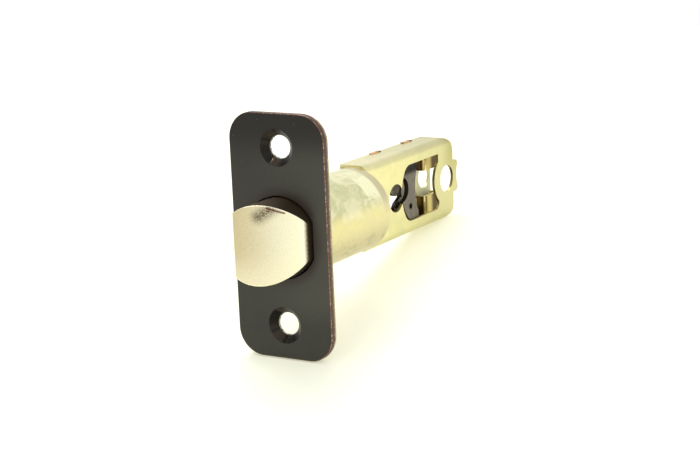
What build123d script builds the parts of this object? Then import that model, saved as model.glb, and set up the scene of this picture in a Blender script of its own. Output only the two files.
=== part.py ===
from build123d import *
from math import asin, atan2, cos, degrees, hypot, radians, sin
import os

# Tubular spring latch for a door, 60.3 mm backset, in millimetres.
# The origin is on the bolt's axis at the front face of the faceplate.
# +Y runs into the door along the barrel, +Z runs up the faceplate, +X is the thin side.
# The bolt sticks out towards -Y. Its bevel faces +X.

# Faceplate and its backing plate
PLATE_WIDTH = 25.4
PLATE_HEIGHT = 57.15
PLATE_CORNER = 6.35
PLATE_THICK = 1.4
PLATE_EDGE_ROUND = 0.4
BACKING_INSET = 0.25
BACKING_THICK = 0.8
SCREW_SPACING = 41.3
SCREW_HOLE_R = 2.6
SCREW_HOLE_LAND = 0.2
COUNTERSINK_R = 4.4
DIMPLE_WALL = 0.8

# Barrel
BARREL_R = 10.28
BARREL_WALL = 0.75
BARREL_END_ROUND = 0.5
CROSS_BORE_R = 27.2

# Bolt: a round bar with two flats, a curved bevel and a round shoulder behind the plate
BOLT_FIT = 0.23
BOLT_FLAT_HIGH_CUT = 0.9
BOLT_FLAT_LOW_CUT = 3.7
BOLT_PROJECTION = 10.6
BEVEL_START = 1.0
BEVEL_MID_X_SHARE = 0.657
BEVEL_MID_DEPTH = 3.7
BOLT_HOLE_CLEARANCE = 0.45
BOLT_SHOULDER_GAP = 0.2
SHOULDER_LENGTH = 10.4
BOLT_EDGE_ROUND = 0.35

# Case of folded sheet: a channel and the cover staked into it
CASE_HALF_WIDTH = 3.76
CASE_HALF_HEIGHT = 10.65
CASE_SHEET = 0.7
CASE_BEND = 2.0
CASE_REAR_CORNER = 4.0
CASE_WALL_END_GAP = 2.5
SHEET_FIT = 0.05
TONGUE_LENGTH = 5.0
TONGUE_MARGIN = 0.3
RAIL_REACH = 2.6
RAIL_FOLD = 1.3
RAIL_START = 4.8
RAIL_WALL_GAP = 0.45
RAIL_UPPER_LOW = 2.45
RAIL_LOWER_HIGH = -4.3
TAB_REACH = 2.5
TAB_HALF_HEIGHT = 4.15
TAB_BUMP_R = 1.1
TAB_EDGE_STEP = 0.28
TAB_HOLLOW_R = 6.0
TAB_HOLLOW_DEPTH = 0.7
STAKE_FRONT_OFFSET = -11.0
STAKE_REAR_OFFSET = 5.1
STAKE_LENGTH = 4.2
STAKE_HEAD_WIDTH = 1.1
STAKE_HEAD_HEIGHT = 0.25

# Openings through both sides of the case, placed from the spindle's axis
BACKSET = 60.3
FRONT_POST_OFFSET = 13.2
REAR_POST_OFFSET = 13.57
POST_HOLE_R = 3.53
COVER_REAR_HOLE_R = 3.0
POST_RING = 3.17
POST_TO_REAR = 3.63
NECK_HALF_HEIGHT = 2.0
WINDOW_R = 10.3
WINDOW_HALF_HEIGHT = 7.2
WINDOW_REACH = 9.2
WINDOW_FRONT_ROUND = 3.6
WINDOW_REAR_ROUND = 1.8

# Retractor: three plates riveted into one turning cam, around the spindle's half-round hole
CAM_PLATE = 1.2
CAM_CORE_PLATE = 1.5
CAM_GAP = 0.12
CORE_WALL_GAP = 0.35
OUTER_CAM_WALL_GAP = 1.2
CAM_EDGE_R = 12.0
CAM_EDGE_DEPTH = 2.0
CAM_EDGE_END = 0.6
CAM_BITE_R = 3.17
CAM_BITE_AT = (-8.6, 1.1)
FAR_CAM_BOTTOM = -1.0
CAM_RIVET_R = 0.9
CAM_RIVET_BORE_R = 0.68
RIVET_YOKE_GAP = 0.7
RIVET_LAG = 2.0
CORE_WAIST_STEP = 2.8
SHOULDER_PIN_GAP = 0.25
HORN_PIN_GAP = 0.9
HORN_SPREAD = 12.5
SHOULDER_LAG = 15.5
SHOULDER_SPREAD = 102.0
HORN_ROUND = 0.5
HORN_ROOT_ROUND = 1.0
LOBE_PLATE = 0.8
UPPER_LOBE_AT = (-7.1, 1.5)
UPPER_LOBE_R = 2.4
LOWER_LOBE_AT = (-6.85, -4.0)
LOWER_LOBE_R = 1.25
LOWER_LOBE_EYE_R = 0.55
LOWER_LOBE_ROOT = (-4.6, -2.9)

# Tail yoke: a flat fork that straddles the front screw post
YOKE_PLATE = 1.45
YOKE_SHANK_HALF = 2.5
YOKE_BARREL_GAP = 0.19
YOKE_WALL_GAP = 0.75
YOKE_ARM = 1.7
YOKE_CROTCH = 3.6
YOKE_SEAT_GAP = 0.4
YOKE_TIP_ROUND = 0.7
YOKE_GAP_ROUND = 3.5
YOKE_END_MARGIN = 1.0
PULL_PIN_R = 1.1
PULL_PIN_NECK_R = 0.6
PULL_PIN_REACH = 6.3
PIN_FIT = 0.02

# Spring, its seat and the pin that holds the yoke in the bolt
SPRING_WIRE = 0.9
SPRING_MEAN_R = 5.0
SPRING_TURNS = 9.0
SPRING_END_GAP = 0.05
SPRING_BORE_GAP = 0.75
SPRING_BORE_FLOOR = 5.5
SEAT_THICK = 1.4
SEAT_BOSS_GAP = 0.3
SEAT_BOSS_HEIGHT = 1.8
SEAT_FIT = 0.06
SLOT_CLEARANCE = 0.2
BOLT_PIN_R = 1.0
BOLT_PIN_Y = 3.4
SHANK_FRONT = 1.2

# Places worked out from the sizes above, along Y
BACKING_REAR = PLATE_THICK + BACKING_THICK
SHOULDER_Y = PLATE_THICK + BOLT_SHOULDER_GAP
BOLT_REAR = SHOULDER_Y + SHOULDER_LENGTH
BARREL_REAR = BACKSET - CROSS_BORE_R
TONGUE_FRONT = BARREL_REAR - TONGUE_LENGTH
SEAT_FRONT = TONGUE_FRONT - SEAT_THICK
REAR_POST_Y = BACKSET + REAR_POST_OFFSET
FRONT_POST_Y = BACKSET - FRONT_POST_OFFSET
CASE_REAR = REAR_POST_Y + POST_TO_REAR
CASE_WALL_REAR = CASE_REAR - CASE_WALL_END_GAP
WINDOW_REAR = BACKSET + WINDOW_REACH
PULL_PIN_Y = BACKSET - PULL_PIN_REACH
YOKE_REAR = PULL_PIN_Y + YOKE_END_MARGIN

# Layers across the case, along X
INNER_HALF_WIDTH = CASE_HALF_WIDTH - CASE_SHEET
NEAR_CAM_X = INNER_HALF_WIDTH - CAM_GAP - CAM_PLATE
YOKE_X = NEAR_CAM_X - CAM_GAP - YOKE_PLATE
CORE_X = YOKE_X - CAM_GAP - CAM_CORE_PLATE
FAR_CAM_X = -INNER_HALF_WIDTH + CAM_GAP

# Radii and heights
BARREL_BORE = BARREL_R - BARREL_WALL
BOLT_R = BARREL_BORE - BOLT_FIT
BOLT_FLAT_HIGH = BOLT_R - BOLT_FLAT_HIGH_CUT
BOLT_FLAT_LOW = BOLT_FLAT_LOW_CUT - BOLT_R
SPRING_BORE_R = SPRING_MEAN_R + SPRING_WIRE / 2 + SPRING_BORE_GAP
SEAT_BOSS_R = SPRING_MEAN_R - SPRING_WIRE / 2 - SEAT_BOSS_GAP
INNER_HALF_HEIGHT = CASE_HALF_HEIGHT - CASE_SHEET
RAIL_END = INNER_HALF_HEIGHT - RAIL_WALL_GAP
CORE_R = INNER_HALF_HEIGHT - CORE_WALL_GAP
OUTER_CAM_R = INNER_HALF_HEIGHT - OUTER_CAM_WALL_GAP
POST_RING_R = POST_HOLE_R + POST_RING
YOKE_IN_BARREL = (BARREL_BORE**2 - (YOKE_X + YOKE_PLATE) ** 2) ** 0.5 - YOKE_BARREL_GAP
YOKE_OUTER = min(YOKE_IN_BARREL, INNER_HALF_HEIGHT - YOKE_WALL_GAP)
YOKE_INNER = YOKE_OUTER - YOKE_ARM
PULL_PIN_Z = YOKE_OUTER - YOKE_ARM / 2
CORE_SHOULDER_R = PULL_PIN_Z - PULL_PIN_R - SHOULDER_PIN_GAP
CORE_WAIST_R = CORE_SHOULDER_R - CORE_WAIST_STEP

# The horns' leading edges, as angles from the -Y axis that leave the named gap to the pull pins
PULL_PIN_RADIUS_AT = hypot(PULL_PIN_REACH, PULL_PIN_Z)
PULL_PIN_ANGLE = degrees(atan2(PULL_PIN_Z, PULL_PIN_REACH))
HORN_LEAD = PULL_PIN_ANGLE - degrees(asin((PULL_PIN_R + HORN_PIN_GAP) / PULL_PIN_RADIUS_AT))
HORN_ANGLES = (HORN_LEAD - HORN_SPREAD, HORN_LEAD)
SHOULDER_ANGLES = (HORN_LEAD - SHOULDER_LAG, HORN_LEAD - SHOULDER_LAG + SHOULDER_SPREAD)
CAM_RIVET_ANGLE = HORN_LEAD - RIVET_LAG
CAM_RIVET_RADIUS_AT = YOKE_INNER - RIVET_YOKE_GAP - CAM_RIVET_R

# Reach of the tools that cut right through the latch, the little that a cut or a join runs past a face,
# and how near to a place a corner counts as the one meant
CUT_OUT = 2 * (BACKSET + PLATE_HEIGHT)
PAST = 1.0
CORNER_REACH = 0.1


def across(sketch, x_low, x_high):
    """Plate drawn in (Y, Z) and given its thickness along X."""
    return extrude(Plane.YZ.offset(x_low) * sketch, x_high - x_low)


def along(sketch, y_low, y_high):
    """Section drawn in (X, Z) and drawn out along Y."""
    return extrude(Plane.XZ.offset(-y_high) * sketch, y_high - y_low)


def block(x_span, y_span, z_span):
    """Box between low and high values on each axis."""
    middle = [(low + high) / 2 for low, high in (x_span, y_span, z_span)]
    size = [high - low for low, high in (x_span, y_span, z_span)]
    return Pos(*middle) * Box(*size)


def area(first_span, second_span):
    """Rectangle between low and high values on a sketch's two axes, which are mostly (Y, Z)."""
    middle = ((first_span[0] + first_span[1]) / 2, (second_span[0] + second_span[1]) / 2)
    return Pos(*middle) * Rectangle(first_span[1] - first_span[0], second_span[1] - second_span[0])


def rod_x(radius, x_low, x_high, y, z):
    """Round rod along X."""
    return across(Pos(y, z) * Circle(radius), x_low, x_high)


def corners_near(sketch, y, z, reach=CORNER_REACH):
    """The sketch's corners within reach of a point."""
    return [v for v in sketch.vertices() if (Vector(v.X, v.Y) - Vector(y, z)).length < reach]


def bolt_outline(clearance):
    """End view of the bolt's nose in (X, Z): a circle cut by two flats."""
    flats = BOLT_FLAT_HIGH - BOLT_FLAT_LOW + 2 * clearance
    middle = (BOLT_FLAT_HIGH + BOLT_FLAT_LOW) / 2
    return Circle(BOLT_R + clearance) & Pos(middle, 0) * Rectangle(flats, 3 * BOLT_R)


def screw_places():
    return [Pos(0, side * SCREW_SPACING / 2) for side in (-1, 1)]


def dimple(radius_step):
    """Cone pressed back round a screw hole, from the front face to the backing plate's rear face."""
    depth = BACKING_REAR - SCREW_HOLE_LAND
    cone = Cone(SCREW_HOLE_R + radius_step, COUNTERSINK_R + radius_step, depth)
    shape = Pos(0, depth / 2, 0) * Rot(X=90) * cone
    return shape + along(Circle(SCREW_HOLE_R + radius_step), depth, BACKING_REAR)


def make_faceplate():
    outline = RectangleRounded(PLATE_WIDTH, PLATE_HEIGHT, PLATE_CORNER)
    plate = along(outline, 0, PLATE_THICK)
    front = plate.faces().sort_by(Axis.Y)[0]
    plate = fillet(front.edges(), PLATE_EDGE_ROUND)
    plate -= along(bolt_outline(BOLT_HOLE_CLEARANCE), -PAST, PLATE_THICK + PAST)
    for place in screw_places():
        middle = Pos(0, 0, place.position.Y)
        plate += middle * dimple(DIMPLE_WALL)
        plate -= middle * dimple(0)
    return plate


def make_backing_plate():
    width = PLATE_WIDTH - 2 * BACKING_INSET
    height = PLATE_HEIGHT - 2 * BACKING_INSET
    outline = RectangleRounded(width, height, PLATE_CORNER - BACKING_INSET)
    outline -= Circle(BARREL_R + SHEET_FIT)
    plate = along(outline, PLATE_THICK, BACKING_REAR)
    for place in screw_places():
        plate -= Pos(0, 0, place.position.Y) * dimple(DIMPLE_WALL + SHEET_FIT)
    return plate


def make_barrel():
    tube = along(Circle(BARREL_R) - Circle(BARREL_BORE), PLATE_THICK, BARREL_REAR)
    rear = tube.faces().sort_by(Axis.Y)[-1]
    rim = rear.edges().sort_by(SortBy.LENGTH)[-1]
    return fillet(rim, BARREL_END_ROUND)


def window_outline():
    """Half-round opening for the lock's spindle, with the rear post's ring biting into it."""
    z_span = (-WINDOW_HALF_HEIGHT, WINDOW_HALF_HEIGHT)
    side = area((BACKSET - 2 * WINDOW_R, WINDOW_REAR), z_span)
    shape = side & Pos(BACKSET, 0) * Circle(WINDOW_R)
    reach = WINDOW_R - WINDOW_HALF_HEIGHT
    front_y = BACKSET - (WINDOW_R**2 - WINDOW_HALF_HEIGHT**2) ** 0.5
    for z in z_span:
        shape = fillet(corners_near(shape, front_y, z, reach / 2), WINDOW_FRONT_ROUND)
    rear_strip = area((BACKSET, WINDOW_REAR), z_span)
    lower_rear = corners_near(rear_strip, WINDOW_REAR, -WINDOW_HALF_HEIGHT)
    shape += fillet(lower_rear, WINDOW_REAR_ROUND)
    return shape - Pos(REAR_POST_Y, 0) * Circle(POST_RING_R)


def side_openings(rear_hole_r):
    """Everything that is cut through a side of the case. The two sides' rear holes differ in size."""
    holes = window_outline()
    holes += Pos(REAR_POST_Y, 0) * Circle(rear_hole_r)
    holes += Pos(FRONT_POST_Y, 0) * Circle(POST_HOLE_R)
    neck = (FRONT_POST_Y + POST_HOLE_R / 2, BACKSET - WINDOW_R + PAST)
    return holes + area(neck, (-NECK_HALF_HEIGHT, NECK_HALF_HEIGHT))


def rear_tab():
    """Tab behind the rear post hole: two rounded bumps and a hollow between them."""
    reach = CASE_REAR + TAB_REACH
    bump_y = reach - TAB_BUMP_R
    bump_z = TAB_HALF_HEIGHT - TAB_BUMP_R
    tab = area((CASE_REAR - PAST, bump_y), (-TAB_HALF_HEIGHT, TAB_HALF_HEIGHT))
    tab += area((CASE_REAR - PAST, reach - TAB_EDGE_STEP), (-bump_z, bump_z))
    for z in (-bump_z, bump_z):
        tab += Pos(bump_y, z) * Circle(TAB_BUMP_R)
    hollow_y = reach - TAB_HOLLOW_DEPTH + TAB_HOLLOW_R
    return tab - Pos(hollow_y, 0) * Circle(TAB_HOLLOW_R)


def tongue():
    """Front tongue of a case side, which reaches into the barrel and backs the spring seat."""
    corner = BARREL_BORE - TONGUE_MARGIN
    half = min((corner**2 - CASE_HALF_WIDTH**2) ** 0.5, CASE_HALF_HEIGHT - CASE_BEND)
    return area((TONGUE_FRONT, BARREL_REAR + PAST), (-half, half))


def stake_places():
    middles = (BACKSET + STAKE_FRONT_OFFSET, BACKSET + STAKE_REAR_OFFSET)
    return [(y - STAKE_LENGTH / 2, y + STAKE_LENGTH / 2) for y in middles]


def make_case_body():
    outer = Rectangle(2 * CASE_HALF_WIDTH, 2 * CASE_HALF_HEIGHT)
    outer = fillet(outer.vertices().group_by(Axis.X)[-1], CASE_BEND)
    inner = Rectangle(2 * INNER_HALF_WIDTH, 2 * INNER_HALF_HEIGHT)
    inner = fillet(inner.vertices().group_by(Axis.X)[-1], CASE_BEND - CASE_SHEET)
    inner += Pos(-CASE_HALF_WIDTH, 0) * Rectangle(2 * CASE_HALF_WIDTH, 2 * INNER_HALF_HEIGHT)
    channel = along(outer - inner, BARREL_REAR, CASE_REAR)
    side = area((BARREL_REAR - PAST, CASE_REAR), (-CASE_HALF_HEIGHT, CASE_HALF_HEIGHT))
    side = fillet(side.vertices().group_by(Axis.X)[-1], CASE_REAR_CORNER)
    channel &= across(side, -CUT_OUT, CUT_OUT)
    bend_start = CASE_HALF_WIDTH - CASE_BEND
    channel -= block((-CUT_OUT, bend_start), (CASE_WALL_REAR, CUT_OUT), (-CUT_OUT, CUT_OUT))
    channel += across(tongue() + rear_tab(), INNER_HALF_WIDTH, CASE_HALF_WIDTH)
    channel -= across(side_openings(POST_HOLE_R), INNER_HALF_WIDTH - CASE_BEND, CASE_HALF_WIDTH + PAST)
    for y_low, y_high in stake_places():
        y_span = (y_low - SHEET_FIT, y_high + SHEET_FIT)
        notch = block((-CUT_OUT, -INNER_HALF_WIDTH + SHEET_FIT), y_span, (-CUT_OUT, CUT_OUT))
        channel -= notch
    return channel


def rail(z_low, z_high):
    """Strip folded in from the cover's rear end, seen from above as a U: rear wall, rail and window lug."""
    reach = RAIL_REACH - INNER_HALF_WIDTH
    outer = area((-CASE_HALF_WIDTH, reach), (WINDOW_REAR, CASE_REAR))
    for corner in ((reach, CASE_REAR), (reach, WINDOW_REAR), (-CASE_HALF_WIDTH, CASE_REAR)):
        outer = fillet(corners_near(outer, *corner), RAIL_FOLD)
    pocket_y = (WINDOW_REAR + CASE_SHEET, CASE_REAR - CASE_SHEET)
    pocket = area((-2 * CASE_HALF_WIDTH, reach - CASE_SHEET), pocket_y)
    for y in pocket_y:
        pocket = fillet(corners_near(pocket, reach - CASE_SHEET, y), RAIL_FOLD - CASE_SHEET)
    side_y = (CASE_REAR - RAIL_START, CASE_REAR - RAIL_FOLD)
    side = area((-CASE_HALF_WIDTH, -INNER_HALF_WIDTH), side_y)
    return Pos(0, 0, z_low) * extrude(outer - pocket + side, z_high - z_low)


def make_case_cover():
    height = INNER_HALF_HEIGHT - SHEET_FIT
    side = area((BARREL_REAR, CASE_REAR - CASE_BEND), (-height, height))
    side += area((REAR_POST_Y, CASE_REAR), (RAIL_LOWER_HIGH, RAIL_UPPER_LOW))
    side += tongue()
    for y_span in stake_places():
        side += area(y_span, (-CASE_HALF_HEIGHT, CASE_HALF_HEIGHT))
    side -= side_openings(COVER_REAR_HOLE_R)
    cover = across(side, -CASE_HALF_WIDTH, -INNER_HALF_WIDTH)
    head_x = (-CASE_HALF_WIDTH, STAKE_HEAD_WIDTH - CASE_HALF_WIDTH)
    head_top = CASE_HALF_HEIGHT + STAKE_HEAD_HEIGHT
    for y_span in stake_places():
        cover += block(head_x, y_span, (CASE_HALF_HEIGHT, head_top))
        cover += block(head_x, y_span, (-head_top, -CASE_HALF_HEIGHT))
    cover += rail(RAIL_UPPER_LOW, RAIL_END)
    return cover + rail(-RAIL_END, RAIL_LOWER_HIGH)


def make_latch_bolt():
    tip = (BOLT_FLAT_LOW, -BOLT_PROJECTION)
    heel = (BOLT_FLAT_HIGH, -BEVEL_START)
    mid_x = BOLT_FLAT_LOW + BEVEL_MID_X_SHARE * (BOLT_FLAT_HIGH - BOLT_FLAT_LOW)
    bevel = ThreePointArc(tip, (mid_x, BEVEL_MID_DEPTH - BOLT_PROJECTION), heel)
    back_high = (BOLT_FLAT_HIGH, SHOULDER_Y)
    back_low = (BOLT_FLAT_LOW, SHOULDER_Y)
    plan = make_face(Wire([bevel, *Polyline(heel, back_high, back_low, tip).edges()]))
    nose = Pos(0, 0, -CUT_OUT) * extrude(plan, 2 * CUT_OUT)
    nose &= along(Circle(BOLT_R), -CUT_OUT, CUT_OUT)
    bevel_face = nose.faces().sort_by(Axis.Y)[0]
    nose = fillet(bevel_face.edges(), BOLT_EDGE_ROUND)
    bolt = nose + along(Circle(BOLT_R), SHOULDER_Y, BOLT_REAR)
    bolt -= along(Circle(SPRING_BORE_R), SPRING_BORE_FLOOR, BOLT_REAR + PAST)
    slot_x = (YOKE_X - PIN_FIT, YOKE_X + YOKE_PLATE + PIN_FIT)
    half = YOKE_SHANK_HALF + PIN_FIT
    bolt -= block(slot_x, (SHANK_FRONT - PIN_FIT, BOLT_REAR), (-half, half))
    return bolt - rod_x(BOLT_PIN_R + PIN_FIT, -CUT_OUT, CUT_OUT, BOLT_PIN_Y, 0)


def make_bolt_pin():
    half = BOLT_R - BOLT_EDGE_ROUND
    return rod_x(BOLT_PIN_R, -half, half, BOLT_PIN_Y, 0)


def make_tail_yoke():
    front = TONGUE_FRONT + YOKE_SEAT_GAP
    fork = area((front, YOKE_REAR), (-YOKE_OUTER, YOKE_OUTER))
    fork = fillet(fork.vertices().group_by(Axis.X)[0], YOKE_CROTCH)
    gap = area((front + YOKE_CROTCH, YOKE_REAR + PAST), (-YOKE_INNER, YOKE_INNER))
    gap = fillet(gap.vertices().group_by(Axis.X)[0], YOKE_GAP_ROUND)
    fork -= gap
    fork = fillet(fork.vertices().group_by(Axis.X)[-1], YOKE_TIP_ROUND)
    fork += area((SHANK_FRONT, front + PAST), (-YOKE_SHANK_HALF, YOKE_SHANK_HALF))
    fork -= Pos(BOLT_PIN_Y, 0) * Circle(BOLT_PIN_R + PIN_FIT)
    for z in (-PULL_PIN_Z, PULL_PIN_Z):
        fork -= Pos(PULL_PIN_Y, z) * Circle(PULL_PIN_NECK_R + PIN_FIT)
    return across(fork, YOKE_X, YOKE_X + YOKE_PLATE)


def make_pull_pin(z):
    """Pin riveted in the yoke's arm, with its full radius in the layer of the cam's horns."""
    pin = rod_x(PULL_PIN_R, CORE_X + CAM_GAP, YOKE_X, PULL_PIN_Y, z)
    return pin + rod_x(PULL_PIN_NECK_R, YOKE_X, YOKE_X + YOKE_PLATE, PULL_PIN_Y, z)


def rivet_places():
    """Centres of the cam's two rivets, in (Y, Z) about the spindle's axis."""
    turn = radians(CAM_RIVET_ANGLE)
    y = -CAM_RIVET_RADIUS_AT * cos(turn)
    z = CAM_RIVET_RADIUS_AT * sin(turn)
    return {"upper": (y, z), "lower": (y, -z)}


def before_edge():
    """Everything in front of the cam's hollow inner edge, in (Y, Z) about the spindle's axis."""
    front = area((-2 * CORE_R, -CAM_EDGE_END), (-2 * CORE_R, 2 * CORE_R))
    return front - Pos(CAM_EDGE_R - CAM_EDGE_DEPTH, 0) * Circle(CAM_EDGE_R)


def rivet_holes():
    holes = [Pos(y, z) * Circle(CAM_RIVET_R + PIN_FIT) for y, z in rivet_places().values()]
    return holes[0] + holes[1]


def outer_cam(z_low):
    """Crescent beside a case side, from a height upwards, with a bite for the tail in its front."""
    blank = before_edge() & Circle(OUTER_CAM_R)
    blank &= area((-2 * OUTER_CAM_R, 0), (z_low, 2 * OUTER_CAM_R))
    blank -= Pos(*CAM_BITE_AT) * Circle(CAM_BITE_R)
    return blank - rivet_holes()


def sector(radius, angles, side):
    """Piece of a disc about the spindle's axis, between two angles up or down from the -Y axis."""
    reach = 2 * radius
    corners = [(-reach * cos(radians(a)), side * reach * sin(radians(a))) for a in angles]
    return make_face(Polyline((0, 0), *corners, close=True)) & Circle(radius)


def lower_lobe():
    """Slanting arm with a rounded end."""
    run_y = LOWER_LOBE_ROOT[0] - LOWER_LOBE_AT[0]
    run_z = LOWER_LOBE_ROOT[1] - LOWER_LOBE_AT[1]
    middle = Pos(LOWER_LOBE_AT[0] + run_y / 2, LOWER_LOBE_AT[1] + run_z / 2)
    slope = Rot(Z=degrees(atan2(run_z, run_y)))
    return middle * slope * SlotCenterToCenter(hypot(run_y, run_z), 2 * LOWER_LOBE_R)


def core_outline():
    """Middle plate: shoulders round the rivets and two horns that pull the yoke."""
    core = Circle(CORE_WAIST_R)
    for side in (-1, 1):
        core += sector(CORE_SHOULDER_R, SHOULDER_ANGLES, side)
        core += sector(CORE_R, HORN_ANGLES, side)
    core &= before_edge()
    tips = [v for v in core.vertices() if Vector(v.X, v.Y).length > CORE_R - CORNER_REACH]
    core = fillet(tips, HORN_ROUND)
    turn = radians(HORN_ANGLES[1])
    for side in (-1, 1):
        root = (-CORE_SHOULDER_R * cos(turn), side * CORE_SHOULDER_R * sin(turn))
        core = fillet(corners_near(core, *root), HORN_ROOT_ROUND)
    return core - rivet_holes()


def lobes_outline():
    """The core's two front lobes, thinner than the rest of it, with an eye in the lower one."""
    lobes = Pos(*UPPER_LOBE_AT) * Circle(UPPER_LOBE_R) + lower_lobe()
    lobes -= Pos(*LOWER_LOBE_AT) * Circle(LOWER_LOBE_EYE_R)
    return lobes - rivet_holes()


def turned(sketch):
    """Moves a sketch about the spindle's axis to its place in the case."""
    return Pos(BACKSET, 0) * sketch


def make_near_cam():
    return across(turned(outer_cam(-OUTER_CAM_R)), NEAR_CAM_X, NEAR_CAM_X + CAM_PLATE)


def make_cam_core():
    near_face = CORE_X + CAM_CORE_PLATE
    core = across(turned(core_outline()), CORE_X, near_face)
    return core + across(turned(lobes_outline()), near_face - LOBE_PLATE, near_face)


def make_far_cam():
    return across(turned(outer_cam(FAR_CAM_BOTTOM)), FAR_CAM_X, CORE_X - CAM_GAP)


def make_upper_cam_rivet():
    """Solid rivet through all three cam plates, flush with the outer two."""
    y, z = rivet_places()["upper"]
    return rod_x(CAM_RIVET_R, FAR_CAM_X, NEAR_CAM_X + CAM_PLATE, BACKSET + y, z)


def make_lower_cam_rivet():
    """Hollow-ended rivet through the near cam and the core."""
    y, z = rivet_places()["lower"]
    near_end = NEAR_CAM_X + CAM_PLATE
    rivet = rod_x(CAM_RIVET_R, CORE_X, near_end, BACKSET + y, z)
    return rivet - rod_x(CAM_RIVET_BORE_R, NEAR_CAM_X, near_end + PAST, BACKSET + y, z)


def make_spring_seat():
    disc = Circle(BARREL_BORE - SEAT_FIT)
    seat = along(disc, SEAT_FRONT, TONGUE_FRONT)
    seat += along(Circle(SEAT_BOSS_R), SEAT_FRONT - SEAT_BOSS_HEIGHT, SEAT_FRONT)
    slot_x = (YOKE_X - SLOT_CLEARANCE, YOKE_X + YOKE_PLATE + SLOT_CLEARANCE)
    half = YOKE_SHANK_HALF + SLOT_CLEARANCE
    return seat - block(slot_x, (0, BARREL_REAR), (-half, half))


def make_bolt_spring():
    start = SPRING_BORE_FLOOR + SPRING_END_GAP
    length = SEAT_FRONT - SPRING_END_GAP - start
    pitch = (length - SPRING_WIRE) / SPRING_TURNS
    path = Helix(pitch, length - SPRING_WIRE, SPRING_MEAN_R)
    section = Plane(path @ 0, z_dir=path % 0) * Circle(SPRING_WIRE / 2)
    coil = sweep(section, path)
    return Pos(0, start + SPRING_WIRE / 2, 0) * Rot(X=-90) * coil


def make_parts():
    return {
        "faceplate": make_faceplate(),
        "backing_plate": make_backing_plate(),
        "barrel": make_barrel(),
        "case_body": make_case_body(),
        "case_cover": make_case_cover(),
        "latch_bolt": make_latch_bolt(),
        "bolt_pin": make_bolt_pin(),
        "tail_yoke": make_tail_yoke(),
        "upper_pull_pin": make_pull_pin(PULL_PIN_Z),
        "lower_pull_pin": make_pull_pin(-PULL_PIN_Z),
        "bolt_spring": make_bolt_spring(),
        "spring_seat": make_spring_seat(),
        "near_cam": make_near_cam(),
        "cam_core": make_cam_core(),
        "far_cam": make_far_cam(),
        "upper_cam_rivet": make_upper_cam_rivet(),
        "lower_cam_rivet": make_lower_cam_rivet(),
    }


os.makedirs("parts", exist_ok=True)
for node, shape in make_parts().items():
    export_step(shape, f"parts/{node}.step")
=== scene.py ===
from math import cos, pi, radians, sin

import bpy
from mathutils import Matrix, Vector


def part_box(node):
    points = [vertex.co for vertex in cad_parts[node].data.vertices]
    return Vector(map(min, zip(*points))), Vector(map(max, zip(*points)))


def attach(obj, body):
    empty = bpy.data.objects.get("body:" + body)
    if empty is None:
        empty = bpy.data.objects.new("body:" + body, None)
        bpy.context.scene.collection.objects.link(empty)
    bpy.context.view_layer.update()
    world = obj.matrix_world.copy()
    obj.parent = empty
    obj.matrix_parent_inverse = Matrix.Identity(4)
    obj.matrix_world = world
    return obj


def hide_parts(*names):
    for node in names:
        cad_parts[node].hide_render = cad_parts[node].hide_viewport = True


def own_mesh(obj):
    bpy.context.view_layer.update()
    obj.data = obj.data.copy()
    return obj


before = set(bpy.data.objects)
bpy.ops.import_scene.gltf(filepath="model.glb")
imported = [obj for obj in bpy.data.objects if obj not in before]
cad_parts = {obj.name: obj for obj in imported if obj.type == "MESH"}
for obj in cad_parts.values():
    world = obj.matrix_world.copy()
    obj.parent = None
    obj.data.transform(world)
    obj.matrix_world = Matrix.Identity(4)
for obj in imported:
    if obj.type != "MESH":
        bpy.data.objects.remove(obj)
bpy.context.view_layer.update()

# Tubular spring latch: finishes, spring, floor, lights and camera
# Lengths are in metres, written as millimetres times MM. +Y runs into the door along the barrel, +Z runs up
# the faceplate, and the photograph sees the front and the +X side.
MM = 0.001

# Camera, at the photograph's place and angle
CAMERA_PLACE = (216.3 * MM, -324.98 * MM, 89.45 * MM)
CAMERA_AZIMUTH = 31.319
CAMERA_ELEVATION = 12.871
CAMERA_ROLL = -2.397
CAMERA_LENS_MM = 90.78
SENSOR_WIDTH_MM = 36.0
NEAREST_SEEN = 10 * MM

# Faceplate: its outline, its two pressed countersinks, and a scratch in the upper one
PLATE_HALF_WIDTH = 12.7 * MM
PLATE_HALF_HEIGHT = 28.575 * MM
PLATE_CORNER = 6.35 * MM
PLATE_THICK = 1.4 * MM
SCREW_HEIGHT = 20.65 * MM
SCREW_HOLE_R = 2.6 * MM
COUNTERSINK_R = 4.4 * MM
SCRATCH_ENDS = ((-1.9 * MM, 0.2 * MM, 16.6 * MM), (-1.65 * MM, 1.6 * MM, 18.4 * MM))

# Backing plate: it is dark up to this distance from the bolt's axis
BACKING_DARK_R = 12.0 * MM

# Bolt: how far its bevel reaches, and the lines along which it is worn and scored, seen from the front
BEVEL_LEFT = -5.6 * MM
BEVEL_RIGHT = 8.4 * MM
BEVEL_REAR = -1.0 * MM
BOLT_R = 9.3 * MM
PATCH_ENDS = ((3.0 * MM, 0.0, 8.5 * MM), (0.4 * MM, 0.0, 6.7 * MM))
PATCH_R = 2.7 * MM
SCORE_ENDS = ((2.1 * MM, 0.0, 8.6 * MM), (5.1 * MM, 0.0, 7.25 * MM))

# Barrel, with a painted highlight ring and a band of painted shade near its rear end
BARREL_R = 10.28 * MM
BARREL_REAR = 31.8 * MM
HIGHLIGHT_START = 24.8 * MM
HIGHLIGHT_END = 29.5 * MM

# Case of folded sheet, with the cover's stake heads on its top and bottom
CASE_HALF_WIDTH = 3.76 * MM
CASE_HALF_HEIGHT = 10.65 * MM
CASE_SHEET = 0.7 * MM
CASE_BEND = 2.0 * MM
CASE_WALL_REAR = 75.0 * MM
CASE_REAR = 77.5 * MM
WINDOW_REAR = 69.5 * MM
STAKE_START = 47.2 * MM
STAKE_LENGTH = 4.2 * MM
STAKE_SPACING = 16.1 * MM
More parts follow.
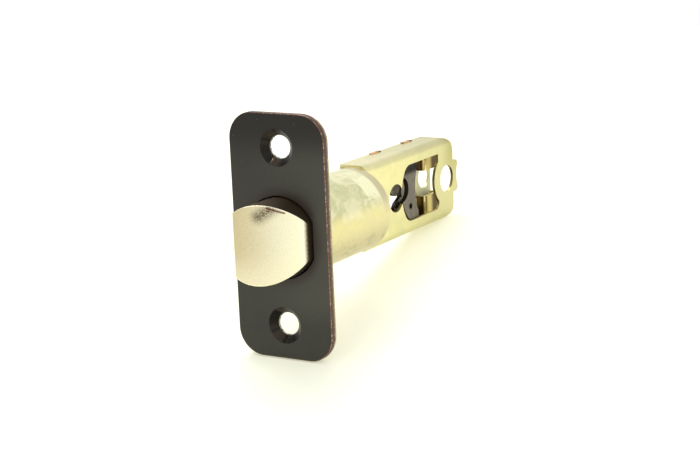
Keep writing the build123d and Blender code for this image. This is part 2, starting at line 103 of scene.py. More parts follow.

# Cam and its rivets: painted shade darkens them from this height upwards
CAM_SHADE_FROM = 3.8 * MM

# Spring
SPRING_WIRE = 0.9 * MM
SPRING_TURNS = 9.0
SPRING_DEAD_TURNS = 1.0
SPRING_STEPS_PER_TURN = 28

# Floor under the latch, which rests on the faceplate's lower edge and the case's rear
FLOOR_GAP = 0.05 * MM
FLOOR_FRONT = 60.0 * MM
FLOOR_BACK = 220.0 * MM
FLOOR_HALF_WIDTH = 260.0 * MM
FLOOR_COLOUR = (0.94, 0.94, 0.87, 1.0)
FLOOR_LIFT_COLOUR = (1.0, 1.0, 0.74, 1.0)
FLOOR_LIFT = 0.39

# Light of the room, and two soft square lamps: at the front right, and high at the left
WHITE = (1.0, 1.0, 1.0, 1.0)
ROOM_LIGHT = 0.62
BACKDROP_LIGHT = 1.0
LAMP_TARGET = (0.0, 30.0 * MM, 0.0)
KEY_PLACE = (450.0 * MM, -350.0 * MM, 350.0 * MM)
KEY_SIZE = 450.0 * MM
KEY_WATTS = 0.6
TOP_PLACE = (-200.0 * MM, 200.0 * MM, 550.0 * MM)
TOP_SIZE = 400.0 * MM
TOP_WATTS = 1.8


def linear(level):
    """Screen level from 0 to 255, as the linear value that a shader takes."""
    if level <= 10:
        return level / (255 * 12.92)
    return ((level / 255 + 0.055) / 1.055) ** 2.4


def srgb(red, green, blue):
    """Colour given by its screen levels."""
    return (linear(red), linear(green), linear(blue), 1.0)


# Faceplate's colours. Two colours together are the two ends of a pattern.
COAT = srgb(36, 35, 27), srgb(46, 45, 37)
# The top colour is painted shade, the middle colour is painted light, and the brown round the bolt is a
# painted reflection.
COAT_TOP_SHADE = srgb(22, 20, 14)
COAT_MIDDLE_LIT = srgb(72, 71, 61)
COAT_BOLT_REFLECTION = srgb(44, 29, 20)
# The cones' spokes are painted shade on their pressed waviness, and the pale hole wall is a painted
# reflection.
CONE_SPOKE_SHADE = srgb(14, 11, 8), srgb(66, 58, 48)
HOLE_WALL_REFLECTION = srgb(120, 114, 98), srgb(250, 248, 238)
SPECK = srgb(112, 106, 90)
PLATE_SIDE = srgb(74, 56, 46)
COPPER = srgb(150, 96, 76), srgb(226, 190, 168)
COAT_TINT = srgb(255, 252, 240)

# Backing plate's colours
BACKING = srgb(140, 134, 98), srgb(186, 180, 140)
BACKING_DARK = srgb(44, 38, 28)

# Bolt's colours
# The two bevel colours and the colour below are painted light, brighter to the right and below; the arris
# colour is a painted highlight.
NICKEL = srgb(220, 206, 160), srgb(252, 248, 216)
NICKEL_LIT_BELOW = srgb(254, 246, 208)
NICKEL_GRAIN = srgb(120, 104, 78)
NICKEL_WORN = srgb(88, 74, 52)
NICKEL_ARRIS_HIGHLIGHT = srgb(255, 250, 226)
NICKEL_SCORE = srgb(96, 52, 42)
BEVEL_DARK_REAR = srgb(62, 52, 34)
FLANK = srgb(112, 98, 78), srgb(58, 48, 34)

# Barrel's colours
ZINC_ABOVE = srgb(204, 206, 156), srgb(234, 228, 186)
ZINC_FLECK = srgb(246, 244, 218)
ZINC_BELOW = srgb(219, 209, 153), srgb(212, 203, 156)
ZINC_UNDER = srgb(206, 195, 154), srgb(180, 176, 134)
# The ring colour is a painted highlight, the band colour is painted shade, and the inside colour is painted
# shade.
RING_HIGHLIGHT = srgb(250, 248, 206)
BAND_SHADE = srgb(206, 196, 158)
BARREL_INSIDE_SHADE = srgb(40, 35, 25)

# Folded sheet's colours
SHEET = srgb(231, 223, 165), srgb(219, 215, 161)
SHEET_PINK = srgb(230, 212, 164)
# The flat top colour, the rear colour and the end colour are painted shade.
SHEET_FLAT_TOP_SHADE = srgb(222, 214, 168), srgb(208, 206, 160)
SHEET_REAR_SHADE = srgb(192, 187, 140)
SHEET_END_SHADE = srgb(174, 168, 110)
# Cut edges are olive, painted lighter where they face up and darker elsewhere as painted light and shade.
CUT_EDGE = srgb(136, 122, 68), srgb(206, 190, 124)
RAIL = srgb(216, 196, 136), srgb(218, 200, 138)
# The rails' bend colour is a painted highlight, their shade colour is painted shade, and their top colour is
# painted light.
RAIL_BEND_HIGHLIGHT = srgb(250, 236, 180)
RAIL_SHADE = srgb(84, 64, 26)
RAIL_TOP_LIT = srgb(216, 208, 160)
STAKE_HEAD = srgb(222, 172, 128), srgb(110, 66, 38)
# The cover's inner face behind the rails is painted pale as painted light.
POCKET_LIT = srgb(255, 252, 216)

# Steel's colours
STEEL = srgb(150, 150, 146), srgb(186, 184, 178)
BLACK_CAM = srgb(102, 96, 86), srgb(128, 121, 110)
# The core's colours are the cams' black oxide painted lighter, as painted light.
BLACK_CORE_LIT = srgb(132, 124, 112), srgb(166, 158, 144)
BLACK_RIVET = srgb(70, 52, 38), srgb(96, 74, 56)
BLACK_EDGE = srgb(60, 53, 45)
# Painted shade on the upper parts of the cams, core and rivets.
BLACK_TOP_SHADE = srgb(24, 18, 11)


class Finish:
    """One procedural material, built by short calls.

    An input is a number, a colour or another call's result. A mask is 1 where it holds and 0 elsewhere.
    """

    def __init__(self, name):
        self.material = bpy.data.materials.new(name)
        self.material.use_nodes = True
        self.tree = self.material.node_tree
        self.shader = self.tree.nodes["Principled BSDF"]
        coordinates = self.tree.nodes.new("ShaderNodeTexCoord")
        self.place = coordinates.outputs["Object"]
        self.normal = coordinates.outputs["Normal"]
        self.x, self.y, self.z = self.axes(self.place)

    def node(self, kind, inputs, **settings):
        made = self.tree.nodes.new(kind)
        for key, value in settings.items():
            setattr(made, key, value)
        for key, value in inputs.items():
            self.feed(made.inputs[key], value)
        return made

    def feed(self, socket, value):
        if isinstance(value, bpy.types.NodeSocket):
            self.tree.links.new(value, socket)
        else:
            socket.default_value = value

    def set(self, **inputs):
        """Feeds the main shader. A name's underscores stand for spaces."""
        for key, value in inputs.items():
            self.feed(self.shader.inputs[key.replace("_", " ")], value)

    def math(self, operation, first, second=0.0):
        return self.node("ShaderNodeMath", {0: first, 1: second}, operation=operation).outputs[0]

    def plus(self, first, second):
        return self.math("ADD", first, second)

    def minus(self, first, second):
        return self.math("SUBTRACT", first, second)

    def times(self, first, second):
        return self.math("MULTIPLY", first, second)

    def absolute(self, value):
        return self.math("ABSOLUTE", value)

    def larger(self, first, second):
        return self.math("MAXIMUM", first, second)

    def smaller(self, first, second):
        return self.math("MINIMUM", first, second)

    def both(self, *masks):
        """1 only where every mask is 1."""
        result = masks[0]
        for mask in masks[1:]:
            result = self.times(result, mask)
        return result

    def vector(self, operation, first, second=(0.0, 0.0, 0.0)):
        made = self.node("ShaderNodeVectorMath", {0: first, 1: second}, operation=operation)
        return made.outputs["Value" if operation in ("LENGTH", "DISTANCE", "DOT_PRODUCT") else "Vector"]

    def combine(self, x, y, z):
        return self.node("ShaderNodeCombineXYZ", {0: x, 1: y, 2: z}).outputs[0]

    def axes(self, vector):
        return self.node("ShaderNodeSeparateXYZ", {0: vector}).outputs

    def outward(self):
        """How far the surface faces +X, +Y and +Z, from -1 to 1 each."""
        return self.axes(self.normal)

    def across(self):
        """How square the surface is to the X, Y and Z axes, from 0 to 1 each."""
        return self.axes(self.vector("ABSOLUTE", self.normal))

    def ramp(self, value, low, high, start=0.0, end=1.0):
        """Goes smoothly from start at low to end at high, which may be under low, and stays there."""
        inputs = {0: value, 1: low, 2: high, 3: start, 4: end}
        return self.node("ShaderNodeMapRange", inputs, interpolation_type="SMOOTHSTEP").outputs[0]

    def between(self, value, low, high, blur):
        """1 where the value lies from low to high, fading over the blur on either side."""
        return self.both(self.ramp(value, low - blur, low), self.ramp(value, high + blur, high))

    def noise(self, size, detail=2.0, stretch=(1.0, 1.0, 1.0), distortion=0.0, place=None):
        """Cloudy pattern from 0 to 1 whose lumps are about size across, drawn out by stretch."""
        scaled = self.vector("MULTIPLY", place or self.place, tuple(1 / (size * s) for s in stretch))
        inputs = {"Vector": scaled, "Scale": 1.0, "Detail": detail, "Distortion": distortion}
        return self.node("ShaderNodeTexNoise", inputs).outputs["Fac"]

    def specks(self, spacing, radius, share):
        """Small round dots on a flat front, in the given share of cells that are about spacing across."""
        scaled = self.vector("MULTIPLY", self.combine(self.x, self.z, 0.0), (1 / spacing,) * 3)
        inputs = {"Vector": scaled, "Scale": 1.0}
        cells = self.node("ShaderNodeTexVoronoi", inputs, voronoi_dimensions="2D").outputs
        chosen = self.math("LESS_THAN", self.axes(cells["Color"])[0], share)
        return self.both(chosen, self.ramp(cells["Distance"], radius / spacing, 0.5 * radius / spacing))

    def mix(self, factor, first, second):
        """Colour between two colours."""
        made = self.node("ShaderNodeMix", {0: factor, 6: first, 7: second}, data_type="RGBA")
        return made.outputs[2]

    def bump(self, height, depth):
        """Relief of the given depth where height goes from 0 to 1."""
        inputs = {"Height": height, "Distance": depth, "Strength": 1.0}
        return self.node("ShaderNodeBump", inputs).outputs["Normal"]

    def from_front(self):
        """Place as seen from the front, with no depth."""
        return self.vector("MULTIPLY", self.place, (1.0, 0.0, 1.0))

    def from_axis(self):
        """Distance from the bolt's axis."""
        return self.vector("LENGTH", self.from_front())

    def from_line(self, start, end, place=None):
        """Distance from a straight line between two points."""
        run = Vector(end) - Vector(start)
        offset = self.vector("SUBTRACT", place or self.place, start)
        along = self.vector("DOT_PRODUCT", offset, tuple(run / run.length_squared))
        held = self.smaller(self.larger(along, 0.0), 1.0)
        inputs = {0: tuple(run), "Scale": held}
        nearest = self.node("ShaderNodeVectorMath", inputs, operation="SCALE").outputs[0]
        return self.vector("DISTANCE", offset, nearest)


def inside_outline(finish):
    """How far a point of the faceplate is in from its rounded outline."""
    core = (PLATE_HALF_WIDTH - PLATE_CORNER, 0.0, PLATE_HALF_HEIGHT - PLATE_CORNER)
    past = finish.vector("SUBTRACT", finish.vector("ABSOLUTE", finish.from_front()), core)
    corner = finish.vector("LENGTH", finish.vector("MAXIMUM", past, (0.0, 0.0, 0.0)))
    sides = finish.axes(past)
    straight = finish.larger(sides[0], sides[2])
    return finish.minus(PLATE_CORNER, finish.plus(corner, finish.smaller(straight, 0.0)))


def worn_copper(finish, inside):
    """Masks of the lines along the plate's front and rear arrises, rubbed through, and of its side face."""
    front = finish.ramp(finish.absolute(finish.minus(inside, finish.y)), 0.2 * MM, 0.07 * MM)
    on_side = finish.ramp(inside, 0.08 * MM, 0.03 * MM)
    rear = finish.both(on_side, finish.ramp(finish.y, PLATE_THICK - 0.35 * MM, PLATE_THICK - 0.15 * MM))
    patchy = finish.ramp(finish.noise(2.5 * MM, detail=3.0), 0.36, 0.62, 0.45, 1.0)
    rightward = finish.ramp(finish.x, -PLATE_HALF_WIDTH, 0.8 * PLATE_HALF_WIDTH, 0.3, 1.0)
    return finish.both(finish.larger(front, rear), patchy, rightward), on_side


def countersink(finish, coat):
    """Coat with dark spokes of painted shade on the two pressed cones and a painted reflection on the wall
    in the holes, and the mask of the cones.
    """
    past_hole = finish.minus(finish.absolute(finish.z), SCREW_HEIGHT)
    beside_hole = finish.combine(finish.x, 0.0, past_hole)
    from_hole = finish.vector("LENGTH", beside_hole)
    not_rear = finish.ramp(finish.outward()[1], 0.6, 0.3)
    cone = finish.both(finish.ramp(from_hole, COUNTERSINK_R, COUNTERSINK_R - 0.2 * MM), not_rear)
    spokes = finish.noise(0.55, detail=1.0, place=finish.vector("NORMALIZE", beside_hole))
    shades = finish.mix(finish.ramp(spokes, 0.42, 0.6), *CONE_SPOKE_SHADE)
    chips = finish.noise(0.6 * MM, detail=3.0)
    ragged = finish.plus(from_hole, finish.times(chips, 0.5 * MM))
    wall_edge = finish.ramp(ragged, SCREW_HOLE_R + 0.45 * MM, SCREW_HOLE_R + 0.35 * MM)
    rubbed_and_glint = finish.mix(finish.ramp(chips, 0.38, 0.58), *HOLE_WALL_REFLECTION)
    return finish.mix(finish.both(wall_edge, not_rear), finish.mix(cone, coat, shades), rubbed_and_glint), cone


def bronze_coat(finish, cloud):
    """Dark coat, with painted shade that makes it darkest at the top, painted light in the middle and to the
    right, and a brown painted reflection round the bolt.
    """
    clouded = finish.ramp(cloud, 0.35, 0.7)
    upward = finish.ramp(finish.z, -8 * MM, PLATE_HALF_HEIGHT)
    coat = finish.mix(upward, finish.mix(clouded, *COAT), COAT_TOP_SHADE)
    middle = finish.between(finish.z, -13 * MM, 16 * MM, 9 * MM)
    rightward = finish.ramp(finish.x, -9 * MM, 8 * MM, 0.3, 0.85)
    coat = finish.mix(finish.both(middle, rightward), coat, COAT_MIDDLE_LIT)
    ragged = finish.plus(finish.from_axis(), finish.times(cloud, 2 * MM))
    bolt_reflection = finish.ramp(ragged, 13.5 * MM, 10.5 * MM, 0.0, 0.8)
    return finish.mix(bolt_reflection, coat, COAT_BOLT_REFLECTION)


def aged_bronze():
    """Dark oiled bronze with a few specks, and copper at the worn arrises and in the scratch."""
    finish = Finish("aged_bronze_worn")
    cloud = finish.noise(6 * MM, detail=4.0)
    coat, cone = countersink(finish, bronze_coat(finish, cloud))
    specks = finish.specks(spacing=2.4 * MM, radius=0.11 * MM, share=0.22)
    worn, on_side = worn_copper(finish, inside_outline(finish))
    coat = finish.mix(on_side, finish.mix(specks, coat, SPECK), PLATE_SIDE)
    scratch = finish.ramp(finish.from_line(*SCRATCH_ENDS), 0.12 * MM, 0.05 * MM)
    worn = finish.larger(worn, scratch)
    glint = finish.ramp(finish.noise(0.5 * MM), 0.45, 0.65)
    sheen = finish.ramp(finish.z, 10 * MM, PLATE_HALF_HEIGHT, 0.5, 0.38)
    cone_sheen = finish.ramp(cone, 0.0, 1.0, 0.5, 0.2)
    finish.set(
        Base_Color=finish.mix(worn, coat, finish.mix(glint, *COPPER)),
        Metallic=finish.times(worn, 0.9),
        Roughness=finish.ramp(cloud, 0.3, 0.75, 0.42, 0.52),
        Specular_IOR_Level=finish.smaller(sheen, cone_sheen),
        Specular_Tint=COAT_TINT,
        Normal=finish.bump(finish.noise(0.35 * MM, detail=3.0), depth=0.006 * MM),
    )
    return finish.material


def grey_zinc():
    """Dull backing plate, dark round the barrel."""
    finish = Finish("zinc_dull")
    cloud = finish.noise(3 * MM, detail=4.0)
    dark = finish.ramp(finish.from_axis(), BACKING_DARK_R, BACKING_DARK_R - 1 * MM)
    finish.set(
        Base_Color=finish.mix(dark, finish.mix(cloud, *BACKING), BACKING_DARK),
        Metallic=0.9,
        Roughness=finish.ramp(cloud, 0.3, 0.7, 0.4, 0.5),
        Normal=finish.bump(finish.noise(0.4 * MM, detail=3.0), depth=0.006 * MM),
    )
    return finish.material


def worn_nickel(finish, grain, facing):
    """Bevel's colour: painted light makes it brighter to the right and below; with a worn patch, a painted
    highlight on the arris, a score, a dark rear.
    """
    rightward = finish.ramp(finish.x, BEVEL_LEFT, BEVEL_RIGHT)
    lit_downward = finish.ramp(finish.z, 0.0, -BOLT_R, 0.0, 0.8)
    nickel = finish.mix(lit_downward, finish.mix(rightward, *NICKEL), NICKEL_LIT_BELOW)
    dull = finish.ramp(grain, 0.3, 0.7, 0.0, 0.16)
    nickel = finish.mix(dull, nickel, NICKEL_GRAIN)
    seen = finish.from_front()
    from_patch = finish.math("DIVIDE", finish.from_line(*PATCH_ENDS, seen), PATCH_R)
    patch = finish.ramp(finish.plus(from_patch, grain), 1.45, 0.45)
    rubbed_and_glint = finish.ramp(grain, 0.32, 0.52)
    nickel = finish.mix(finish.both(patch, rubbed_and_glint), nickel, NICKEL_WORN)
    arris_highlight = finish.between(facing, 0.3, 0.5, 0.1)
    nickel = finish.mix(arris_highlight, nickel, NICKEL_ARRIS_HIGHLIGHT)
    score = finish.times(finish.ramp(finish.from_line(*SCORE_ENDS, seen), 0.3 * MM, 0.1 * MM), 0.85)
    nickel = finish.mix(score, nickel, NICKEL_SCORE)
    ragged = finish.plus(finish.y, finish.times(grain, 0.8 * MM))
    rear = finish.ramp(ragged, BEVEL_REAR - 0.9 * MM, BEVEL_REAR + 0.2 * MM)
    return finish.mix(rear, nickel, BEVEL_DARK_REAR)


def bolt_metal():
    """Satin nickel where the bolt faces the front, which is its bevel, and dark flanks, darker to the right.
    """
    finish = Finish("satin_bevel")
    facing = finish.times(finish.outward()[1], -1.0)
    grain = finish.noise(0.2 * MM, detail=3.0)
    on_bevel = finish.ramp(facing, 0.16, 0.34)
    rightward = finish.ramp(finish.x, -3 * MM, 5 * MM)
    flank = finish.mix(rightward, *FLANK)
    finish.set(
        Base_Color=finish.mix(on_bevel, flank, worn_nickel(finish, grain, facing)),
        Metallic=finish.ramp(on_bevel, 0.0, 1.0, 0.35, 1.0),
        Roughness=finish.ramp(grain, 0.3, 0.7, 0.34, 0.5),
        Normal=finish.bump(grain, depth=0.006 * MM),
    )
    return finish.material


def barrel_zinc():
    """Cloudy yellow zinc: pale and greenish above, yellow below, a painted highlight ring, a band of painted
    shade near the rear end, and painted shade inside.
    """
    finish = Finish("zinc_barrel")
    cloud = finish.noise(3.2 * MM, stretch=(1.0, 1.5, 1.0), distortion=1.0)
    fine = finish.noise(0.8 * MM, detail=3.0)
    above = finish.mix(finish.ramp(cloud, 0.3, 0.66), *ZINC_ABOVE)
    flecks = finish.ramp(fine, 0.55, 0.75, 0.0, 0.5)
    above = finish.mix(flecks, above, ZINC_FLECK)
    below = finish.mix(finish.ramp(cloud, 0.34, 0.66), *ZINC_BELOW)
    under = finish.mix(finish.ramp(cloud, 0.5, 0.66), *ZINC_UNDER)
    drift = finish.times(finish.minus(cloud, 0.5), 6 * MM)
    height = finish.plus(finish.z, drift)
    upper_side = finish.ramp(height, 0.5 * MM, 5 * MM)
    under_side = finish.ramp(height, 0.0, -5 * MM)
    colour = finish.mix(under_side, finish.mix(upper_side, below, above), under)
    # Painted highlight ring near the rear end
    along_highlight = finish.between(finish.y, HIGHLIGHT_START, HIGHLIGHT_END, 0.5 * MM)
    up_highlight = finish.between(height, 5.8 * MM, 8.2 * MM, 2.2 * MM)
    colour = finish.mix(finish.both(along_highlight, up_highlight), colour, RING_HIGHLIGHT)
    # Band of painted shade at the rear end
    along_band = finish.ramp(finish.y, HIGHLIGHT_END + 0.3 * MM, HIGHLIGHT_END + 1.0 * MM)
    up_band = finish.ramp(height, -2 * MM, 2 * MM)
    colour = finish.mix(finish.both(along_band, up_band), colour, BAND_SHADE)
    # Painted shade inside the barrel
    inside = finish.ramp(finish.from_axis(), BARREL_R - 0.3 * MM, BARREL_R - 0.5 * MM)
    finish.set(
        Base_Color=finish.mix(inside, colour, BARREL_INSIDE_SHADE),
        Metallic=finish.ramp(inside, 0.0, 1.0, 1.0, 0.3),
        Roughness=finish.ramp(fine, 0.3, 0.7, 0.28, 0.34),
        Normal=finish.bump(fine, depth=0.004 * MM),
    )
    return finish.material


def folded_zinc(finish, across):
    """Colour of the folded sheet: clouded yellow, with painted shade that makes it greyer on its top and
    bottom, darker to the rear and darker at its upper rear end.
    """
    green = finish.ramp(finish.noise(7 * MM, detail=3.0, distortion=0.8), 0.42, 0.66)
    pink = finish.ramp(finish.noise(4.5 * MM, distortion=1.2), 0.56, 0.74, 0.0, 0.5)
    colour = finish.mix(pink, finish.mix(green, *SHEET), SHEET_PINK)
    flat_top_lighting = finish.ramp(across[2], 0.5, 0.9)
    colour = finish.mix(flat_top_lighting, colour, finish.mix(green, *SHEET_FLAT_TOP_SHADE))
    shade_rearward = finish.ramp(finish.y, BARREL_REAR, CASE_REAR, 0.0, 0.75)
    colour = finish.mix(shade_rearward, colour, SHEET_REAR_SHADE)
    end_shade = finish.ramp(finish.y, CASE_WALL_REAR - 5 * MM, CASE_REAR, 0.0, 0.9)
    upward = finish.ramp(finish.z, -4 * MM, 7 * MM)
    return finish.mix(finish.both(end_shade, upward), colour, SHEET_END_SHADE)


def plated(finish, colour, metal=1.0):
    """Finishes a zinc-plated sheet of the given colour."""
    fine = finish.noise(0.5 * MM, detail=4.0)
    finish.set(
        Base_Color=colour,
        Metallic=metal,
        Roughness=finish.ramp(fine, 0.3, 0.7, 0.3, 0.42),
        Normal=finish.bump(fine, depth=0.01 * MM),
    )
    return finish.material


def case_zinc():
    """Channel's plating, with olive cut edges at its front end and in the holes of the near side, painted
    lighter where they face up and darker elsewhere as painted light and shade.
    """
    finish = Finish("zinc_case")
    across = finish.across()
    colour = folded_zinc(finish, across)
    height = finish.absolute(finish.z)
    within_wall = finish.ramp(height, CASE_HALF_HEIGHT - 1.5 * MM, CASE_HALF_HEIGHT - CASE_BEND)
    near_wall = finish.ramp(finish.x, 0.0, 1 * MM)
    cut_side = finish.both(finish.ramp(across[0], 0.4, 0.2), within_wall, near_wall)
    ahead = finish.ramp(finish.y, BARREL_REAR + 1.2 * MM, BARREL_REAR + 0.8 * MM)
    cut_front = finish.both(finish.ramp(across[1], 0.6, 0.8), ahead)
    lit_facing_up = finish.ramp(finish.outward()[2], 0.2, 0.7)
    edge = finish.mix(lit_facing_up, *CUT_EDGE)
    return plated(finish, finish.mix(finish.larger(cut_side, cut_front), colour, edge))


def rail_zinc(finish, across):
    """Colour of the rails folded in behind the window: tan, with a painted highlight on the bend between two
    painted shades, and flat faces painted lighter as painted light.
    """
    lug_shade = finish.ramp(finish.y, WINDOW_REAR + 0.45 * MM, WINDOW_REAR + 0.1 * MM)
    rear_shade = finish.ramp(finish.y, WINDOW_REAR + 2.6 * MM, WINDOW_REAR + 4.8 * MM)
    sideways = finish.ramp(across[0], 0.4, 0.7)
    shade = finish.larger(lug_shade, finish.both(rear_shade, sideways))
    bend_highlight = finish.between(finish.y, WINDOW_REAR + 0.6 * MM, WINDOW_REAR + 0.9 * MM, 0.35 * MM)
    lower = finish.ramp(finish.z, 0.0, -3 * MM)
    tan = finish.mix(lower, *RAIL)
    rail = finish.mix(shade, finish.mix(bend_highlight, tan, RAIL_BEND_HIGHLIGHT), RAIL_SHADE)
    flat_top_lighting = finish.ramp(across[2], 0.4, 0.7)
    return finish.mix(flat_top_lighting, rail, RAIL_TOP_LIT)


def cover_zinc():
    """Cover's plating, with its rails, its inner face behind them painted pale and non-metallic as painted
    light, and copper-brown stake heads.
    """
    finish = Finish("zinc_cover")
    across = finish.across()
    inner_face = CASE_SHEET - CASE_HALF_WIDTH
    inward = finish.ramp(finish.x, inner_face + 0.02 * MM, inner_face + 0.1 * MM)
    folded = finish.both(inward, finish.ramp(finish.y, WINDOW_REAR - 1 * MM, WINDOW_REAR - 0.5 * MM))
    colour = finish.mix(folded, folded_zinc(finish, across), rail_zinc(finish, across))
    # Inner face behind the rails, painted pale and non-metallic as painted light
    behind = finish.ramp(finish.y, WINDOW_REAR + 0.2 * MM, WINDOW_REAR + 0.4 * MM)
    lit_pocket = finish.both(behind, finish.between(finish.x, inner_face - 0.1 * MM, inner_face, 0.02 * MM))
    colour = finish.mix(lit_pocket, colour, POCKET_LIT)
    along_head = finish.math("MODULO", finish.minus(finish.y, STAKE_START), STAKE_SPACING)
    dark_end = finish.ramp(along_head, 0.65 * STAKE_LENGTH, 0.8 * STAKE_LENGTH)
    height = finish.absolute(finish.z)
    proud = finish.ramp(height, CASE_HALF_HEIGHT + 0.02 * MM, CASE_HALF_HEIGHT + 0.06 * MM)
    colour = finish.mix(proud, colour, finish.mix(dark_end, *STAKE_HEAD))
    return plated(finish, colour, metal=finish.ramp(lit_pocket, 0.0, 1.0, 1.0, 0.0))


def black_oxide(name, colours):
    """Blackened steel, rubbed to grey on its broad faces, and darkened towards its top by painted shade."""
    finish = Finish(name)
    cloud = finish.noise(1.8 * MM, detail=4.0)
    rubbed_and_glint = finish.mix(finish.ramp(cloud, 0.35, 0.7), *colours)
    broad = finish.ramp(finish.across()[0], 0.3, 0.7)
    upper = finish.ramp(finish.z, CAM_SHADE_FROM, CAM_SHADE_FROM + 1.6 * MM)
    finish.set(
        Base_Color=finish.mix(upper, finish.mix(broad, BLACK_EDGE, rubbed_and_glint), BLACK_TOP_SHADE),
        Metallic=0.75,
        Specular_IOR_Level=finish.ramp(upper, 0.0, 1.0, 0.5, 0.1),
        Roughness=finish.ramp(cloud, 0.3, 0.7, 0.4, 0.54),
        Normal=finish.bump(finish.noise(0.3 * MM, detail=3.0), depth=0.008 * MM),
    )
    return finish.material


def plain_steel():
    """Drawn steel with fine lengthwise marks."""
    finish = Finish("steel_drawn")
    marks = finish.noise(0.25 * MM, detail=3.0, stretch=(1.0, 9.0, 1.0))
    finish.set(
        Base_Color=finish.mix(marks, *STEEL),
        Metallic=1.0,
        Roughness=finish.ramp(marks, 0.3, 0.7, 0.28, 0.42),
        Normal=finish.bump(marks, depth=0.005 * MM),
    )
    return finish.material


def paint(finishes):
    """Gives each named piece its finish."""
    for material, pieces in finishes:
        for name in pieces:
            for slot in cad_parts[name].material_slots:
                slot.material = material


def coil_line(low, high, radius):
    """Centre line of the spring: open turns, with a closed turn at each end."""
    closed = SPRING_DEAD_TURNS * SPRING_WIRE
    open_turns = SPRING_TURNS - 2 * SPRING_DEAD_TURNS
    start = low.y + SPRING_WIRE / 2
    end = high.y - SPRING_WIRE / 2
    pitch = (end - start - 2 * closed) / open_turns
    points = []
    for step in range(int(SPRING_TURNS * SPRING_STEPS_PER_TURN) + 1):
        turn = step / SPRING_STEPS_PER_TURN
        first = min(turn, SPRING_DEAD_TURNS)
        last = max(turn - SPRING_DEAD_TURNS - open_turns, 0.0)
        y = start + (first + last) * SPRING_WIRE + (turn - first - last) * pitch
        points.append(Vector((radius * cos(2 * pi * turn), y, radius * sin(2 * pi * turn))))
    return points


def coil_mesh(points):
    """Round wire with closed ends along the points."""
    curve = bpy.data.curves.new("coil_spring_line", "CURVE")
    curve.dimensions = "3D"
    curve.bevel_depth = SPRING_WIRE / 2
    curve.bevel_resolution = 4
    curve.use_fill_caps = True
    spline = curve.splines.new("POLY")
    spline.points.add(len(points) - 1)
    for target, point in zip(spline.points, points):
        target.co = (*point, 1.0)
    line = bpy.data.objects.new("coil_spring_line", curve)
    mesh = bpy.data.meshes.new_from_object(line)
    bpy.data.objects.remove(line)
    for face in mesh.polygons:
        face.use_smooth = True
    return mesh


def make_spring(material):
    """Coil between the bolt and its seat, fixed to the case."""
    low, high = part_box("bolt_spring")
    spring = bpy.data.objects.new("coil_spring", coil_mesh(coil_line(low, high, high.x - SPRING_WIRE / 2)))
    bpy.context.scene.collection.objects.link(spring)
    spring.data.materials.clear()
    spring.data.materials.append(material)
    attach(spring, "latch_case")
    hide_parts("bolt_spring")
    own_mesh(spring)


def seen_directly(tree):
    """1 where the camera, a reflection or a see-through ray looks, and 0 where light is gathered."""
    path = tree.nodes.new("ShaderNodeLightPath").outputs
    seen = path["Is Camera Ray"]
    for name in ("Is Glossy Ray", "Is Transmission Ray"):
        larger = tree.nodes.new("ShaderNodeMath")
        larger.operation = "MAXIMUM"
        tree.links.new(seen, larger.inputs[0])
        tree.links.new(path[name], larger.inputs[1])
        seen = larger.outputs[0]
    return seen


def floor_material():
    """Pale floor that looks white round the latch and keeps its shadow."""
    finish = Finish("pale_floor")
    finish.tree.nodes.remove(finish.shader)
    diffuse = finish.node("ShaderNodeBsdfDiffuse", {"Color": FLOOR_COLOUR}).outputs[0]
    inputs = {"Color": FLOOR_LIFT_COLOUR, "Strength": FLOOR_LIFT}
    lift = finish.node("ShaderNodeEmission", inputs).outputs[0]
    lifted = finish.node("ShaderNodeAddShader", {0: diffuse, 1: lift}).outputs[0]
    inputs = {0: seen_directly(finish.tree), 1: diffuse, 2: lifted}
    shown = finish.node("ShaderNodeMixShader", inputs).outputs[0]
    finish.tree.links.new(shown, finish.tree.nodes["Material Output"].inputs["Surface"])
    return finish.material


def make_floor():
    """Plane through the two places where the latch rests: the plate's lower edge and the case's rear."""
    front = Vector((0, PLATE_THICK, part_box("faceplate")[0].z - FLOOR_GAP))
    rear = Vector((0, CASE_WALL_REAR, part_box("case_body")[0].z - FLOOR_GAP))
    run = (rear - front).normalized()
    across = Vector((FLOOR_HALF_WIDTH, 0, 0))
    near_end = front - FLOOR_FRONT * run
    far_end = front + FLOOR_BACK * run
    corners = [near_end - across, near_end + across, far_end + across, far_end - across]
    mesh = bpy.data.meshes.new("floor")
    mesh.from_pydata(corners, [], [(0, 1, 2, 3)])
    mesh.materials.append(floor_material())
    floor = bpy.data.objects.new("floor", mesh)
    bpy.context.scene.collection.objects.link(floor)


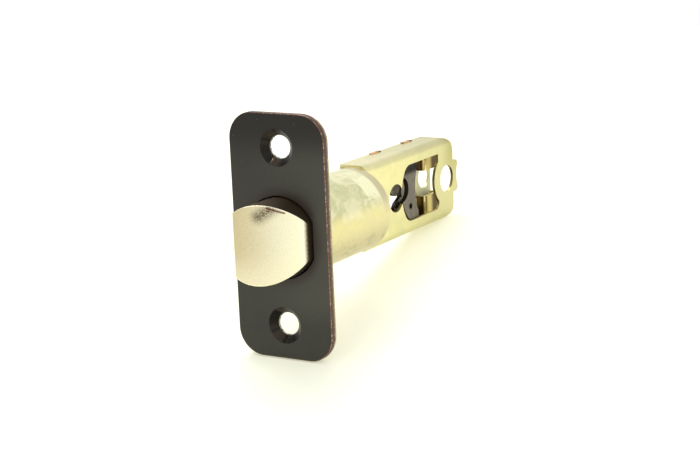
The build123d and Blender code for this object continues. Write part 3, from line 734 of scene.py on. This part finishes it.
def make_world():
    """Even room light, and a white backdrop wherever it is seen."""
    world = bpy.data.worlds.new("studio")
    bpy.context.scene.world = world
    world.use_nodes = True
    tree = world.node_tree
    room = tree.nodes["Background"]
    backdrop = tree.nodes.new("ShaderNodeBackground")
    shown = tree.nodes.new("ShaderNodeMixShader")
    tree.links.new(seen_directly(tree), shown.inputs[0])
    for socket, light, strength in ((1, room, ROOM_LIGHT), (2, backdrop, BACKDROP_LIGHT)):
        light.inputs["Color"].default_value = WHITE
        light.inputs["Strength"].default_value = strength
        tree.links.new(light.outputs[0], shown.inputs[socket])
    tree.links.new(shown.outputs[0], tree.nodes["World Output"].inputs["Surface"])


def make_lamp(name, place, size, watts):
    """Square soft lamp that faces the latch."""
    lamp = bpy.data.lights.new(name, "AREA")
    lamp.size = size
    lamp.energy = watts
    made = bpy.data.objects.new(name, lamp)
    bpy.context.scene.collection.objects.link(made)
    made.location = place
    made.rotation_euler = (Vector(LAMP_TARGET) - Vector(place)).to_track_quat("-Z", "Y").to_euler()


def make_camera():
    data = bpy.data.cameras.new("camera")
    data.sensor_width = SENSOR_WIDTH_MM
    data.lens = CAMERA_LENS_MM
    data.clip_start = NEAREST_SEEN
    camera = bpy.data.objects.new("camera", data)
    bpy.context.scene.collection.objects.link(camera)
    turn = Matrix.Rotation(radians(CAMERA_AZIMUTH), 4, "Z")
    tilt = Matrix.Rotation(radians(90.0 - CAMERA_ELEVATION), 4, "X")
    roll = Matrix.Rotation(radians(CAMERA_ROLL), 4, "Z")
    camera.matrix_world = Matrix.Translation(CAMERA_PLACE) @ turn @ tilt @ roll
    bpy.context.scene.camera = camera


steel = plain_steel()
paint([
    (aged_bronze(), ["faceplate"]),
    (grey_zinc(), ["backing_plate"]),
    (barrel_zinc(), ["barrel"]),
    (case_zinc(), ["case_body"]),
    (cover_zinc(), ["case_cover"]),
    (bolt_metal(), ["latch_bolt"]),
    (steel, ["bolt_pin", "tail_yoke", "upper_pull_pin", "lower_pull_pin", "spring_seat"]),
    (black_oxide("black_oxide_rubbed", BLACK_CAM), ["near_cam", "far_cam", "upper_cam_rivet"]),
    (black_oxide("black_oxide_core", BLACK_CORE_LIT), ["cam_core"]),
    (black_oxide("black_oxide_rivet", BLACK_RIVET), ["lower_cam_rivet"]),
])
make_spring(steel)
make_floor()
make_world()
make_lamp("key", KEY_PLACE, KEY_SIZE, KEY_WATTS)
make_lamp("top", TOP_PLACE, TOP_SIZE, TOP_WATTS)
make_camera()

bpy.context.scene.view_settings.view_transform = "Standard"
